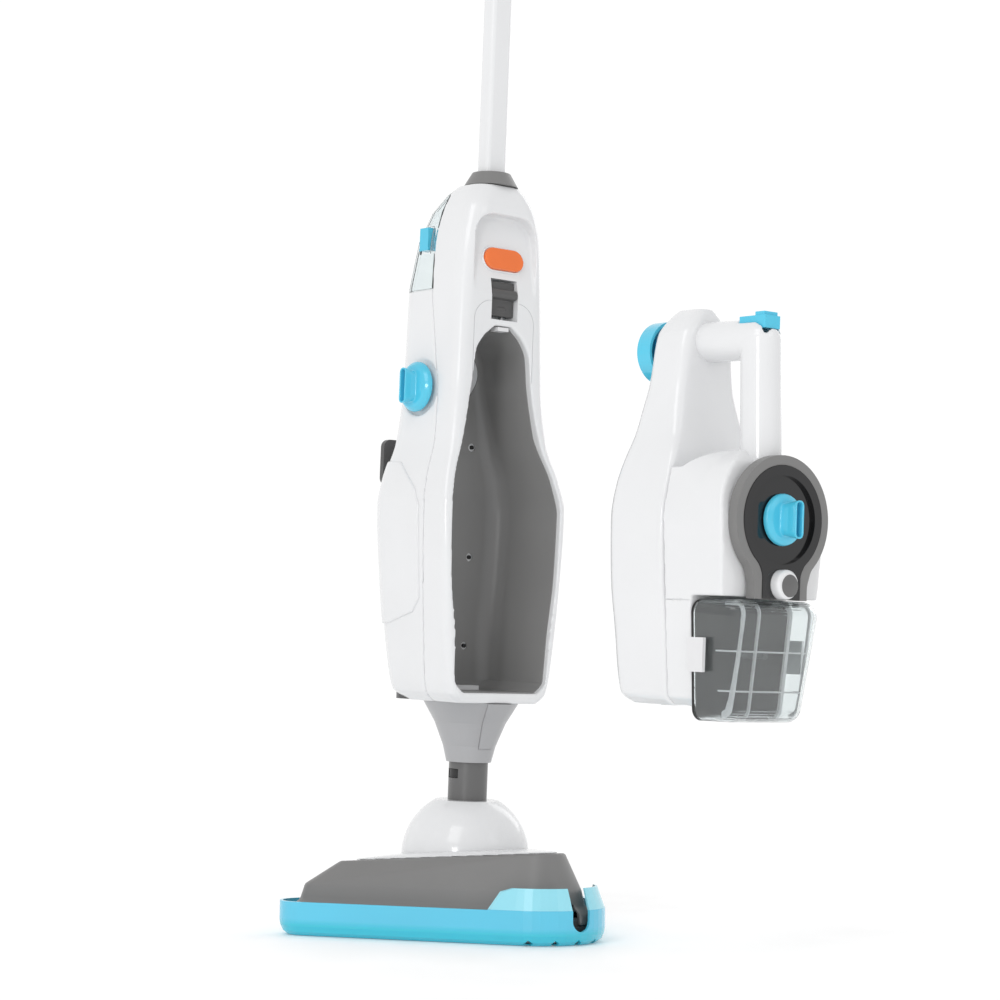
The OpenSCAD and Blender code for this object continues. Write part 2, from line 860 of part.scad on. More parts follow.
module tank_shape(inset) {
    hull() for (side = [-1, 1]) {
        translate([side * (tank_w / 2 - 10), -58.6 - inset, 281]) rotate([90, 0, 0])
            cylinder(h = thin, r = 10 - inset, $fn = 32);
        translate([side * (tank_w / 2 - 14), -58.6 - inset, 209]) rotate([90, 0, 0])
            cylinder(h = thin, r = 10 - inset, $fn = 32);
        translate([side * (tank_w / 2 - 16), -90, 280]) sphere(r = 12 - inset, $fn = 32);
        translate([side * (tank_w / 2 - 22), -82, 211]) sphere(r = 12 - inset, $fn = 32);
    }
}

module water_tank() {
    color("lightcyan") pulled() difference() {
        tank_shape(0);
        tank_shape(2);
        translate([-100, -61, 0]) cube([200, 20, 400]);
    }
}

module tank_back() {
    color("dimgray") pulled() difference() {
        intersection() {
            tank_shape(0);
            translate([-100, -60.9, 0]) cube([200, 20, 400]);
        }
        translate([0, -52, 250]) rotate([90, 0, 0]) cylinder(h = 20, d = 4);
    }
}

module tank_catch(side) {
    translate([side * 53 - 1.5, -76, 236]) cube([3, 17, 26]);
}

module left_tank_catch() {
    color("white") pulled() tank_catch(-1);
}

module right_tank_catch() {
    color("white") pulled() tank_catch(1);
}

module pickup_tube() {
    color("lightcyan") pulled() translate([0, -61, 250]) rotate([90, 0, 0]) difference() {
        cylinder(h = 26, d = 6);
        translate([0, 0, -1]) cylinder(h = 28, d = 4);
    }
}

module nozzle_collar() {
    color("deepskyblue") pulled() difference() {
        along_y(-42, -27) translate([0, nozzle_z]) circle(r = 25);
        along_y(-45, -20) translate([0, nozzle_z]) circle(r = 12);
        along_y(-39, -20) translate([0, nozzle_z]) difference() {
            circle(r = 22.5);
            circle(r = 14);
        }
    }
}

module steam_nozzle() {
    color("dimgray") pulled() {
        along_y(-59.5, -20) translate([0, nozzle_z]) circle(r = 6.5);
        along_y(-42, 6) translate([0, nozzle_z]) circle(r = 11.6);
    }
}

module boiler() {
    color("silver") pulled() translate([0, 1, 250]) difference() {
        cylinder(h = 110, r = 23);
        translate([0, 0, 2]) cylinder(h = 106, r = 21);
    }
}

module pump() {
    color("dimgray") pulled() {
        translate([0, -60, 330]) rotate([90, 0, 0]) cylinder(h = 22, r = 18);
        translate([-10, -55, 372]) cube([20, 24, 16]);
    }
}

module circuit_board() {
    color("green") pulled() translate([-28, -86, 322]) cube([56, 1.6, 52]);
}

module cord_gland() {
    color("dimgray") pulled() translate([-26, -12, 208.7]) difference() {
        cylinder(h = 12, r = 7);
        translate([0, 0, -1]) cylinder(h = 14, d = 7);
    }
}

base_plate();
microfibre_pad();
carpet_glider();
head_housing();
head_cover();
head_screws();
swivel_pedestal();
swivel_yoke();
pitch_pin();
swivel_dome();
neck_tube();
tube_button();
neck_cone();
neck_panel();
front_shell();
rear_shell();
left_side_panel();
right_side_panel();
bay_liner();
bay_screws();
steam_socket();
steam_hose();
docking_tab();
docking_peg();
dock_latch();
latch_spring();
name_badge();
detergent_dial();
dial_spindle();
cartridge_cover();
cover_catch();
detergent_bottle();
bottle_cap();
lower_cord_hook();
rear_foot();
pole_collar();
pole();
left_grip();
right_grip();
upper_cord_hook();
handheld_rear_shell();
handheld_front_shell();
handheld_grip();
thumb_trigger();
panel_surround();
control_panel();
steam_dial();
power_button();
water_tank();
tank_back();
left_tank_catch();
right_tank_catch();
pickup_tube();
nozzle_collar();
steam_nozzle();
boiler();
pump();
circuit_board();
cord_gland();
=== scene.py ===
"""Steam mop: smooth shells, materials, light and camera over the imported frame."""

import json
import math

import bmesh
import bpy
import numpy as np
from mathutils import Matrix, Vector


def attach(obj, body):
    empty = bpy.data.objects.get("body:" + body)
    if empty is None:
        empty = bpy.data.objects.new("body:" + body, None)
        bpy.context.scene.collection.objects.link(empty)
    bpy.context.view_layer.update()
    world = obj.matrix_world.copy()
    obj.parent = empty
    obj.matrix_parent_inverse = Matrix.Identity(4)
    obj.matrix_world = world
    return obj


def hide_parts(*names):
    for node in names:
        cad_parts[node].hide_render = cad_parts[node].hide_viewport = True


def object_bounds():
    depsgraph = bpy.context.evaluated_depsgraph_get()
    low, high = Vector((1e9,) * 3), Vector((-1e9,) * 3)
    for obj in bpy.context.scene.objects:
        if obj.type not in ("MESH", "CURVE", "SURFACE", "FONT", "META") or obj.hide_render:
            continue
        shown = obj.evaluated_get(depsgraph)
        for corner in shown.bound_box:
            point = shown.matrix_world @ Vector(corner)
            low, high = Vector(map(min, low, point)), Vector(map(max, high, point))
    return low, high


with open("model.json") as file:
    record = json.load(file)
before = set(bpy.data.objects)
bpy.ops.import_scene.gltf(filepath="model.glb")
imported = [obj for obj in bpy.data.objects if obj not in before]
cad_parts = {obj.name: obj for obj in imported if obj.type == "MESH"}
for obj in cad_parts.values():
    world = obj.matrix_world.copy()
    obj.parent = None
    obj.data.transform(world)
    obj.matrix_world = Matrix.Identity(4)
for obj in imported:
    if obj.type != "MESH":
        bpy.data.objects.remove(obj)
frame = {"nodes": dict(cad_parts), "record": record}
cad_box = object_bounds()
joints = {joint["name"]: joint for joint in frame["record"]["behaviour"]["joints"]}

MM = 0.001
PIVOT = Vector(joints["neck_pitch"]["pos_m"])
PULL_AXIS = Vector(joints["handheld_pull"]["axis"])
LEAN = math.atan2(-PULL_AXIS.z, -PULL_AXIS.y)
PULL_OUT = -joints["handheld_pull"]["range_m"][0]

# Local millimetres of the upright body, before it leans, to metres in the row frame
UPRIGHT = Matrix.Translation(PIVOT) @ Matrix.Rotation(LEAN, 4, "X") @ Matrix.Translation(-PIVOT)
UPRIGHT = UPRIGHT @ Matrix.Scale(MM, 4)
HANDHELD = UPRIGHT @ Matrix.Translation((0, -PULL_OUT / MM, 0))
HEAD = Matrix.Scale(MM, 4)


# ---- Camera, floor and light ----


def turned(first, second, angle):
    """Two square axes turned in their plane, the first towards the second."""
    cos, sin = math.cos(angle), math.sin(angle)
    return first * cos + second * sin, second * cos - first * sin


def add_camera():
    """A long lens near the floor, to the left of the mop's front."""
    azimuth = math.radians(-38.2)
    distance, height = 2.146, 0.195
    yaw, pitch, roll = math.radians(0.71), math.radians(4.79), math.radians(0.72)
    ahead = Vector((-math.sin(azimuth), math.cos(azimuth), 0))
    right = Vector((math.cos(azimuth), math.sin(azimuth), 0))
    up = Vector((0, 0, 1))
    place = Vector((0, 0, height)) - ahead * distance
    ahead, right = turned(ahead, right, yaw)
    ahead, up = turned(ahead, up, pitch)
    right, up = turned(right, up, roll)
    data = bpy.data.cameras.new("camera")
    data.sensor_width = 36
    data.lens = 88.2
    camera = bpy.data.objects.new("camera", data)
    turn = Matrix((right, up, -ahead)).transposed()
    camera.matrix_world = Matrix.Translation(place) @ turn.to_4x4()
    bpy.context.scene.collection.objects.link(camera)
    bpy.context.scene.camera = camera


def add_area_light(name, place, target, size, power):
    data = bpy.data.lights.new(name, "AREA")
    data.shape = "RECTANGLE"
    data.size, data.size_y = size
    data.energy = power
    light = bpy.data.objects.new(name, data)
    light.location = place
    aim = Vector(target) - Vector(place)
    light.rotation_euler = aim.to_track_quat("-Z", "Y").to_euler()
    bpy.context.scene.collection.objects.link(light)


def floor_material():
    """White near the mop, where its shadow falls, and evenly bright further out."""
    made = plastic("floor_white", (0.95, 0.95, 0.95), 0.6)
    tree = made.node_tree
    shader = tree.nodes["Principled BSDF"]
    shader.inputs["Emission Color"].default_value = (1.0, 1.0, 1.0, 1)
    shader.inputs["Emission Strength"].default_value = 0.12
    place = tree.nodes.new("ShaderNodeNewGeometry")
    reach = tree.nodes.new("ShaderNodeVectorMath")
    reach.operation = "LENGTH"
    tree.links.new(place.outputs["Position"], reach.inputs[0])
    fade = node(tree, "ShaderNodeMapRange", From_Min=0.25, From_Max=0.95)
    fade.interpolation_type = "SMOOTHSTEP"
    tree.links.new(reach.outputs["Value"], fade.inputs["Value"])
    glow = node(tree, "ShaderNodeEmission", Strength=1.05)
    blend = tree.nodes.new("ShaderNodeMixShader")
    tree.links.new(fade.outputs["Result"], blend.inputs["Fac"])
    tree.links.new(shader.outputs["BSDF"], blend.inputs[1])
    tree.links.new(glow.outputs["Emission"], blend.inputs[2])
    tree.links.new(blend.outputs["Shader"], tree.nodes["Material Output"].inputs["Surface"])
    return made


def add_floor():
    mesh = bpy.data.meshes.new("floor")
    bm = bmesh.new()
    reach = 12.0
    sides = ((-reach, -reach), (reach, -reach), (reach, reach), (-reach, reach))
    bm.faces.new([bm.verts.new((x, y, 0)) for x, y in sides])
    bm.to_mesh(mesh)
    bm.free()
    floor = bpy.data.objects.new("floor", mesh)
    floor.location.z = cad_box[0][2] - 0.0005
    bpy.context.scene.collection.objects.link(floor)
    floor.data.materials.append(floor_material())


def add_studio():
    """White room, brighter behind the mop than in front of it, with four soft lamps."""
    world = bpy.data.worlds.new("studio")
    world.use_nodes = True
    background = world.node_tree.nodes["Background"]
    background.inputs["Color"].default_value = (1, 1, 1, 1)
    tree = world.node_tree
    place = tree.nodes.new("ShaderNodeTexCoord")
    facing = tree.nodes.new("ShaderNodeVectorMath")
    facing.operation = "DOT_PRODUCT"
    facing.inputs[1].default_value = (0.6, 0.8, 0.0)
    tree.links.new(place.outputs["Generated"], facing.inputs[0])
    fade = node(tree, "ShaderNodeMapRange", From_Min=-0.3, From_Max=0.7, To_Min=0.67, To_Max=1.04)
    fade.interpolation_type = "SMOOTHSTEP"
    tree.links.new(facing.outputs["Value"], fade.inputs["Value"])
    tree.links.new(fade.outputs["Result"], background.inputs["Strength"])
    bpy.context.scene.world = world
    bpy.context.scene.view_settings.view_transform = "Standard"
    add_floor()
    add_area_light("key_left", (-2.2, -1.2, 2.2), (0, 0, 0.5), (1.2, 1.8), 15)
    add_area_light("fill_front", (0.6, -3.0, 1.8), (0, 0, 0.5), (1.6, 1.2), 4)
    add_area_light("bay_light", (-2.6, -1.7, 0.6), (0.03, 0, 0.35), (0.5, 0.7), 15)
    add_area_light("rim_right", (2.4, 0.6, 1.6), (0, 0, 0.4), (0.8, 1.8), 5)


# ---- Materials ----


def node(tree, kind, **inputs):
    made = tree.nodes.new(kind)
    for name, value in inputs.items():
        made.inputs[name.replace("_", " ")].default_value = value
    return made


def plastic(name, color, roughness, grain=0.0, grain_size=0.0012, coat=0.0, spread=0.03):
    """Moulded plastic: faint cloudy colour, uneven gloss and a fine grain in the surface."""
    made = bpy.data.materials.new(name)
    made.use_nodes = True
    tree = made.node_tree
    shader = tree.nodes["Principled BSDF"]
    place = tree.nodes.new("ShaderNodeTexCoord")
    cloud = node(tree, "ShaderNodeTexNoise", Scale=14.0, Detail=3.0)
    tree.links.new(place.outputs["Object"], cloud.inputs["Vector"])
    tint = tree.nodes.new("ShaderNodeValToRGB")
    tint.color_ramp.elements[0].position = 0.3
    tint.color_ramp.elements[1].position = 0.7
    tint.color_ramp.elements[0].color = [max(0, c * (1 - spread)) for c in color] + [1]
    tint.color_ramp.elements[1].color = [min(1, c * (1 + spread)) for c in color] + [1]
    tree.links.new(cloud.outputs["Fac"], tint.inputs["Fac"])
    tree.links.new(tint.outputs["Color"], shader.inputs["Base Color"])
    polish = node(tree, "ShaderNodeTexNoise", Scale=60.0, Detail=2.0)
    tree.links.new(place.outputs["Object"], polish.inputs["Vector"])
    gloss = tree.nodes.new("ShaderNodeMapRange")
    gloss.inputs["To Min"].default_value = max(0.02, roughness * 0.85)
    gloss.inputs["To Max"].default_value = min(1, roughness * 1.15)
    tree.links.new(polish.outputs["Fac"], gloss.inputs["Value"])
    tree.links.new(gloss.outputs["Result"], shader.inputs["Roughness"])
    if coat:
        shader.inputs["Coat Weight"].default_value = coat
        shader.inputs["Coat Roughness"].default_value = 0.05
    if grain:
        texture = node(tree, "ShaderNodeTexNoise", Scale=1 / grain_size, Detail=2.0)
        tree.links.new(place.outputs["Object"], texture.inputs["Vector"])
        bump = node(tree, "ShaderNodeBump", Strength=grain, Distance=0.0002)
        tree.links.new(texture.outputs["Fac"], bump.inputs["Height"])
        tree.links.new(bump.outputs["Normal"], shader.inputs["Normal"])
    return made


def clear_plastic(name, color, roughness=0.03):
    """Clear moulded plastic with faint flow marks."""
    made = plastic(name, color, roughness)
    shader = made.node_tree.nodes["Principled BSDF"]
    shader.inputs["Transmission Weight"].default_value = 0.96
    shader.inputs["IOR"].default_value = 1.49
    return made


def metal(name, color, roughness):
    """Turned or brushed metal with fine streaks."""
    made = plastic(name, color, roughness, grain=0.15, grain_size=0.0006)
    made.node_tree.nodes["Principled BSDF"].inputs["Metallic"].default_value = 1.0
    return made


def microfibre(name, color):
    """Microfibre cloth: short tufts with a soft sheen."""
    made = plastic(name, color, 0.85, spread=0.08)
    tree = made.node_tree
    shader = tree.nodes["Principled BSDF"]
    shader.inputs["Sheen Weight"].default_value = 0.5
    tufts = node(tree, "ShaderNodeTexVoronoi", Scale=420.0)
    place = tree.nodes.new("ShaderNodeTexCoord")
    tree.links.new(place.outputs["Object"], tufts.inputs["Vector"])
    bump = node(tree, "ShaderNodeBump", Strength=0.9, Distance=0.0012)
    tree.links.new(tufts.outputs["Distance"], bump.inputs["Height"])
    tree.links.new(bump.outputs["Normal"], shader.inputs["Normal"])
    return made


def glider_plastic(name, base, light):
    """Turquoise plastic, darker and deeper in colour towards its foot, and paler in the raised bumper at the
    nose: partly its translucent plastic, partly a painted highlight.
    """
    made = plastic(name, base, 0.2, coat=0.3, spread=0.03)
    tree = made.node_tree
    shader = tree.nodes["Principled BSDF"]
    plain = shader.inputs["Base Color"].links[0].from_socket
    place = tree.nodes.new("ShaderNodeTexCoord")
    parts = tree.nodes.new("ShaderNodeSeparateXYZ")
    tree.links.new(place.outputs["Object"], parts.inputs["Vector"])
    height = node(tree, "ShaderNodeMapRange", From_Min=0.0283, From_Max=0.0287)
    tree.links.new(parts.outputs["Z"], height.inputs["Value"])
    low = node(tree, "ShaderNodeMapRange", From_Min=0.009, From_Max=0.014)
    tree.links.new(parts.outputs["Z"], low.inputs["Value"])
    band = tree.nodes.new("ShaderNodeMixRGB")
    band.inputs["Color1"].default_value = (base[0] * 0.45, base[1] * 0.95, base[2] * 0.88, 1)
    tree.links.new(low.outputs["Result"], band.inputs["Fac"])
    tree.links.new(plain, band.inputs["Color2"])
    # Painted highlight: everything above the rim's height is mixed towards the paler colour, on top of the
    # bumper's own translucent tint
    pale_and_highlight = tree.nodes.new("ShaderNodeMixRGB")
    pale_and_highlight.inputs["Color2"].default_value = (*light, 1)
    tree.links.new(height.outputs["Result"], pale_and_highlight.inputs["Fac"])
    tree.links.new(band.outputs["Color"], pale_and_highlight.inputs["Color1"])
    tree.links.new(pale_and_highlight.outputs["Color"], shader.inputs["Base Color"])
    return made


WHITE = (0.77, 0.775, 0.785)


def make_materials():
    """One material for each slot of the record, and a few that only the visible pieces use."""
    return {
        "white_gloss": plastic("white_gloss", WHITE, 0.18, grain=0.03, coat=0.25, spread=0.012),
        "white_satin": plastic("white_satin", (0.74, 0.74, 0.75), 0.34, grain=0.05),
        "light_grey": plastic("light_grey", (0.40, 0.40, 0.41), 0.34, grain=0.12),
        "mid_grey": plastic("mid_grey", (0.20, 0.198, 0.196), 0.42, grain=0.22, grain_size=0.0009),
        "dark_grey": plastic("dark_grey", (0.085, 0.084, 0.084), 0.38, grain=0.18),
        "tube_grey": plastic("tube_grey", (0.125, 0.124, 0.124), 0.36, grain=0.16),
        # Near-black plastic; on the bay's screws it is painted shade that darkens their wells
        "black_and_shade": plastic("black_and_shade", (0.012, 0.012, 0.012), 0.5, grain=0.1),
        "liner_grey": plastic("liner_grey", (0.27, 0.268, 0.266), 0.32, grain=0.12),
        "turquoise": plastic("turquoise", (0.08, 0.55, 0.76), 0.2, grain=0.04, coat=0.3, spread=0.04),
        # The glider's second colour is the paler bumper, which carries a painted highlight
        "glider": glider_plastic("glider", (0.105, 0.56, 0.77), (0.30, 0.72, 0.84)),
        "black_gloss": plastic("black_gloss", (0.008, 0.008, 0.009), 0.08, coat=0.5),
        "clear": clear_plastic("clear", (0.93, 0.97, 0.98)),
        "orange": plastic("orange", (0.88, 0.17, 0.02), 0.18, coat=0.6, spread=0.10),
        "steel": metal("steel", (0.55, 0.55, 0.56), 0.3),
        "alloy": metal("alloy", (0.66, 0.66, 0.67), 0.35),
        "silicone": plastic("silicone", (0.62, 0.60, 0.55), 0.5, grain=0.1),
        "microfibre": microfibre("microfibre", (0.78, 0.84, 0.86)),
        "board_green": plastic("board_green", (0.02, 0.16, 0.06), 0.35, spread=0.2),
    }


# ---- Mesh helpers ----


def monotone(xs, ys, x):
    """Smooth curve through the points that never overshoots them."""
    step = np.diff(xs)
    slope = np.diff(ys) / step
    bend = np.zeros(len(xs))
    for i in range(1, len(xs) - 1):
        if slope[i - 1] * slope[i] > 0:
            bend[i] = 2 / (1 / slope[i - 1] + 1 / slope[i])
    bend[0], bend[-1] = slope[0], slope[-1]
    i = np.clip(np.searchsorted(xs, x) - 1, 0, len(xs) - 2)
    t = (x - xs[i]) / step[i]
    a = (1 + 2 * t) * (1 - t) ** 2
    b = t * (1 - t) ** 2
    c = t * t * (3 - 2 * t)
    d = t * t * (t - 1)
    return a * ys[i] + b * step[i] * bend[i] + c * ys[i + 1] + d * step[i] * bend[i + 1]


def section(half_width, front, rear, radius, front_radius, per_corner=10, per_side=8):
    """Rounded rectangle in plan, counter-clockwise from the rear right."""
    limit = min(half_width - 0.1, (front + rear) / 2 - 0.1)
    back = max(0.5, min(radius, limit))
    face = max(0.5, min(front_radius, limit))
    points = []
    middles = [(half_width - back, rear - back, back), (-half_width + back, rear - back, back),
               (-half_width + face, face - front, face), (half_width - face, face - front, face)]
    for k, (x, y, bend) in enumerate(middles):
        for j in range(per_corner + 1):
            turn = math.pi / 2 * (k + j / per_corner)
            points.append((x + bend * math.cos(turn), y + bend * math.sin(turn)))
        nx, ny, next_bend = middles[(k + 1) % 4]
        turn = math.pi / 2 * (k + 1)
        ex, ey = nx + next_bend * math.cos(turn), ny + next_bend * math.sin(turn)
        sx, sy = points[-1]
        for j in range(1, per_side):
            points.append((sx + (ex - sx) * j / per_side, sy + (ey - sy) * j / per_side))
    return points


def tube_mesh(name, rings):
    """Closed mesh through rings of equally many points, capped at both ends."""
    bm = bmesh.new()
    loops = [[bm.verts.new(p) for p in ring] for ring in rings]
    count = len(loops[0])
    for low, high in zip(loops, loops[1:]):
        for i in range(count):
            j = (i + 1) % count
            bm.faces.new((low[i], low[j], high[j], high[i]))
    bm.faces.new(list(reversed(loops[0])))
    bm.faces.new(loops[-1])
    bmesh.ops.recalc_face_normals(bm, faces=bm.faces)
    mesh = bpy.data.meshes.new(name)
    bm.to_mesh(mesh)
    bm.free()
    return mesh


def loft_mesh(name, rows, grow=0.0, step=4.0, low=0.0, high=0.0):
    """Smooth body through rounded sections.

    A row is height, half width, front, rear and rear corner radius, then the front one where it differs.
    """
    table = np.array([(*row, row[4])[:6] for row in rows], float)
    levels = list(np.arange(table[0, 0], table[-1, 0], step)) + [table[-1, 0]]
    rings = []
    for z in levels:
        sizes = [monotone(table[:, 0], table[:, k], z) + grow for k in range(1, 6)]
        height = z - low if z == levels[0] else z + high if z == levels[-1] else z
        rings.append([(x, y, height) for x, y in section(*sizes)])
    return tube_mesh(name, rings)


def prism_mesh(name, outline, axis, start, end):
    """Outline extruded along an axis: for X it is y and z, for Y it is x and z, for Z it is x and y."""
    place = {"X": lambda p, d: (d, *p), "Y": lambda p, d: (p[0], d, p[1]), "Z": lambda p, d: (*p, d)}[axis]
    return tube_mesh(name, [[place(point, depth) for point in outline] for depth in (start, end)])


def box_mesh(name, x, y, z):
    """Block between two values of x, of y and of z."""
    return prism_mesh(name, [(x[0], y[0]), (x[1], y[0]), (x[1], y[1]), (x[0], y[1])], "Z", *z)


def hull_mesh(name, points):
    """Convex solid round the points."""
    bm = bmesh.new()
    for point in points:
        bm.verts.new(point)
    bmesh.ops.remove_doubles(bm, verts=bm.verts, dist=0.01)
    made = bmesh.ops.convex_hull(bm, input=bm.verts)
    loose = [v for v in made["geom_interior"] if isinstance(v, bmesh.types.BMVert)]
    bmesh.ops.delete(bm, geom=loose, context="VERTS")
    mesh = bpy.data.meshes.new(name)
    bm.to_mesh(mesh)
    bm.free()
    return mesh


def disc_outline(x, y, radius, count=48):
    turns = [2 * math.pi * i / count for i in range(count)]
    return [(x + radius * math.cos(t), y + radius * math.sin(t)) for t in turns]


def level(outline, z):
    return [(x, y, z) for x, y in outline]


def ring(radius, z, count=64):
    return level(disc_outline(0, 0, radius, count), z)


def apply_modifiers(obj):
    graph = bpy.context.evaluated_depsgraph_get()
    mesh = bpy.data.meshes.new_from_object(obj.evaluated_get(graph))
    obj.modifiers.clear()
    obj.data = mesh


def combine(obj, mesh, operation):
    """Cuts, joins or intersects the object with a mesh."""
    other = bpy.data.objects.new("cutter", mesh)
    bpy.context.scene.collection.objects.link(other)
    modifier = obj.modifiers.new("shape", "BOOLEAN")
    modifier.operation = operation
    modifier.solver = "EXACT"
    modifier.object = other
    apply_modifiers(obj)
    bpy.data.objects.remove(other)


def round_edges(obj, voxel, passes, keep):
    """Turns the solid into an even skin, softens its edges and thins the mesh out again."""
    remesh = obj.modifiers.new("skin", "REMESH")
    remesh.mode = "VOXEL"
    remesh.voxel_size = voxel
    soften = obj.modifiers.new("soften", "SMOOTH")
    soften.factor = 0.5
    soften.iterations = passes
    apply_modifiers(obj)
    if keep < 1:
        thin_out = obj.modifiers.new("thin_out", "DECIMATE")
        thin_out.ratio = keep
        apply_modifiers(obj)


def build(name, base, add=(), cut=(), keep_inside=(), voxel=1.3, passes=4, keep=0.4):
    """A rounded solid from a base mesh, all in local millimetres."""
    obj = bpy.data.objects.new(name, base)
    bpy.context.scene.collection.objects.link(obj)
    for mesh in add:
        combine(obj, mesh, "UNION")
    for mesh in keep_inside:
        combine(obj, mesh, "INTERSECT")
    for mesh in cut:
        combine(obj, mesh, "DIFFERENCE")
    if voxel:
        round_edges(obj, voxel, passes, keep)
    return obj


def settle(obj, place, body, material, *nodes):
    """Puts a finished piece in the row frame, on its body, with its material."""
    obj.data.transform(place)
    obj.data.materials.clear()
    obj.data.materials.append(material)
    for polygon in obj.data.polygons:
        polygon.use_smooth = True
    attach(obj, body)
    if nodes:
        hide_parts(*nodes)
    return obj


# ---- Upright body ----

# Each row is height, half width, reach to the front, reach to the rear, and the corner radius at the
# rear, then at the front where it differs
BODY_ROWS = [
    (198, 44, 40, 42, 18, 8), (206, 53, 41.5, 57, 21, 8), (225, 57, 42, 62, 24, 8),
    (300, 64.5, 42, 69, 26, 8), (368, 68, 41, 72.5, 27, 8), (391, 64, 37, 71, 26, 8),
    (425, 54, 30, 67, 23, 9), (475, 49, 26.5, 65, 21, 10), (560, 47, 26, 65, 21, 14),
    (600, 44, 27, 57, 20, 16), (625, 39, 26, 45, 19, 17), (641, 32, 22, 32, 18, 17),
    (649, 25, 19, 25, 17, 16)]
BAY_ROWS = [
    (208, 40, 70, 32, 14), (216, 49, 70, 39, 16), (254, 51, 70, 42, 18), (308, 57, 70, 44, 18),
    (366, 58.8, 70, 44, 18), (391, 54, 70, 42, 17), (425, 41.5, 70, 41, 14), (475, 31.5, 70, 44, 9),
    (500, 28.5, 70, 44, 8), (516, 19, 70, 43, 8), (524, 8, 70, 39, 6)]
SEAM = [(190, 3), (254, 7), (365, 10), (466, -2), (548, -17), (600, -20), (643, -16), (645, -60), (660, -60)]
PANEL = [(-4, 286), (-4, 366), (4, 380), (34, 404), (90, 408), (90, 262), (40, 264), (6, 274)]
SHELL_GAP = 0.15
COVER_FLOOR = 556
HINGE_Y, HINGE_Z = 67.6, 557.2
LATCH_Z = 548
BADGE_Y, BADGE_Z = -19.75, 583
NOZZLE_Z = 488
DIAL_Y, DIAL_Z = 26, 470
LINER_GAP = 0.9
# The hand recess: half width, corner bend and shoulder height of its arch, and the lean of its floor
SCOOP_HALF, SCOOP_BEND, SCOOP_TOP = 34, 20, 602
FLOOR_LEAN = math.atan2(13.5, 70)
BAY_SCREWS = ((22, 423, 41), (26, 325, 44), (22, 246, 41.4))


def seam_mesh(side):
    """Everything in front of the shells' seam for side -1, or behind it for side 1."""
    line = np.array(SEAM, float)
    bottom, top = line[0, 0], line[-1, 0]
    outline = []
    for z in np.linspace(bottom, top, 95):
        outline.append((-float(np.interp(z, line[:, 0], line[:, 1])) + side * SHELL_GAP, float(z)))
    outline += [(side * 150, top), (side * 150, bottom)]
    return prism_mesh("seam", outline, "X", -120, 120)


def scoop_mesh():
    """Hand recess under an arched brow, shallow at its foot and deep at its head."""
    arch = [(SCOOP_HALF, 500), (SCOOP_HALF, SCOOP_TOP)]
    for turn in np.linspace(0.1, 1.57, 12):
        x = SCOOP_HALF - SCOOP_BEND + SCOOP_BEND * math.cos(turn)
        arch.append((x, SCOOP_TOP + SCOOP_BEND * math.sin(turn)))
    arch += [(-x, z) for x, z in reversed(arch)]
    obj = bpy.data.objects.new("scoop", prism_mesh("scoop", arch, "Y", -70, 10))
    bpy.context.scene.collection.objects.link(obj)
    floor = [(-80, 530), (-26.7, 548), (-13, 618), (-13, 640), (-80, 640)]
    combine(obj, prism_mesh("floor", floor, "X", -60, 60), "INTERSECT")
    mesh = obj.data
    bpy.data.objects.remove(obj)
    return mesh


def band_mesh(name, line, width, start, end):
    """A thin strip along a line of x and z, extruded in depth."""
    line = np.array(line, float)
    along = np.gradient(line, axis=0)
    along /= np.linalg.norm(along, axis=1)[:, None]
    across = np.stack([-along[:, 1], along[:, 0]], axis=1) * width / 2
    outline = [tuple(p) for p in line + across] + [tuple(p) for p in (line - across)[::-1]]
    return prism_mesh(name, outline, "Y", start, end)


def arch_line(side):
    """Half of the parting line over the bay, from beside the latch down to its foot."""
    curve = []
    for turn in np.linspace(0, math.pi / 2, 16):
        curve.append((side * (15 + 18 * math.sin(turn)), 528 + 18 * math.cos(turn)))
    return curve + [(side * 33, z) for z in np.linspace(520, 478, 8)]


def bay_cut():
    """The room that the shells leave for the liner."""
    return loft_mesh("bay", BAY_ROWS, grow=LINER_GAP, low=LINER_GAP, high=LINER_GAP)


def build_front_shell(material):
    front = build(
        "front_shell", loft_mesh("front", BODY_ROWS), keep_inside=[seam_mesh(-1)],
        cut=[bay_cut(), scoop_mesh()], voxel=1.05, passes=13, keep=0.75)
    pocket = box_mesh("pocket", (-14.5, 14.5), (-50, -10), (LATCH_Z - 18, LATCH_Z + 18))
    combine(front, pocket, "DIFFERENCE")
    for side in (-1, 1):
        combine(front, band_mesh("parting", arch_line(side), 0.6, -40, -25.4), "DIFFERENCE")
    settle(front, UPRIGHT, "upright", material["white_gloss"], "front_shell")
    front.data.set_sharp_from_angle(angle=math.radians(60))


def cover_hinge():
    """Two ears on feet and the pin between them, which carry the detergent cover."""
    foot = [(62.6, 547), (62.6, 555.6), (65.5, 555.6), (69.8, 556.5), (69.8, 553), (66, 547)]
    meshes = []
    for x in (-15, 15):
        meshes.append(prism_mesh("ear", disc_outline(HINGE_Y, HINGE_Z, 2.2, 20), "X", x - 2.6, x + 2.6))
        meshes.append(prism_mesh("foot", foot, "X", x - 2.6, x + 2.6))
    return meshes + [prism_mesh("pin", disc_outline(HINGE_Y, HINGE_Z, 0.9, 16), "X", -15, 15)]


def build_rear_shell(material):
    below = box_mesh("below", (-100, 100), (-100, 100), (150, COVER_FLOOR - 0.2))
    dial_recess = prism_mesh("recess", disc_outline(DIAL_Y, DIAL_Z, 25), "X", -60, -47.4)
    socket_room = prism_mesh("socket_room", disc_outline(0, NOZZLE_Z, 15), "Y", 30, 62.2)
    rear = build(
        "rear_shell", loft_mesh("rear", BODY_ROWS), keep_inside=[seam_mesh(1), below],
        cut=[bay_cut(), socket_room, dial_recess], voxel=1.15, passes=5)
    for mesh in cover_hinge():
        combine(rear, mesh, "UNION")
    settle(rear, UPRIGHT, "upright", material["white_gloss"], "rear_shell")
    rear.data.set_sharp_from_angle(angle=math.radians(60))


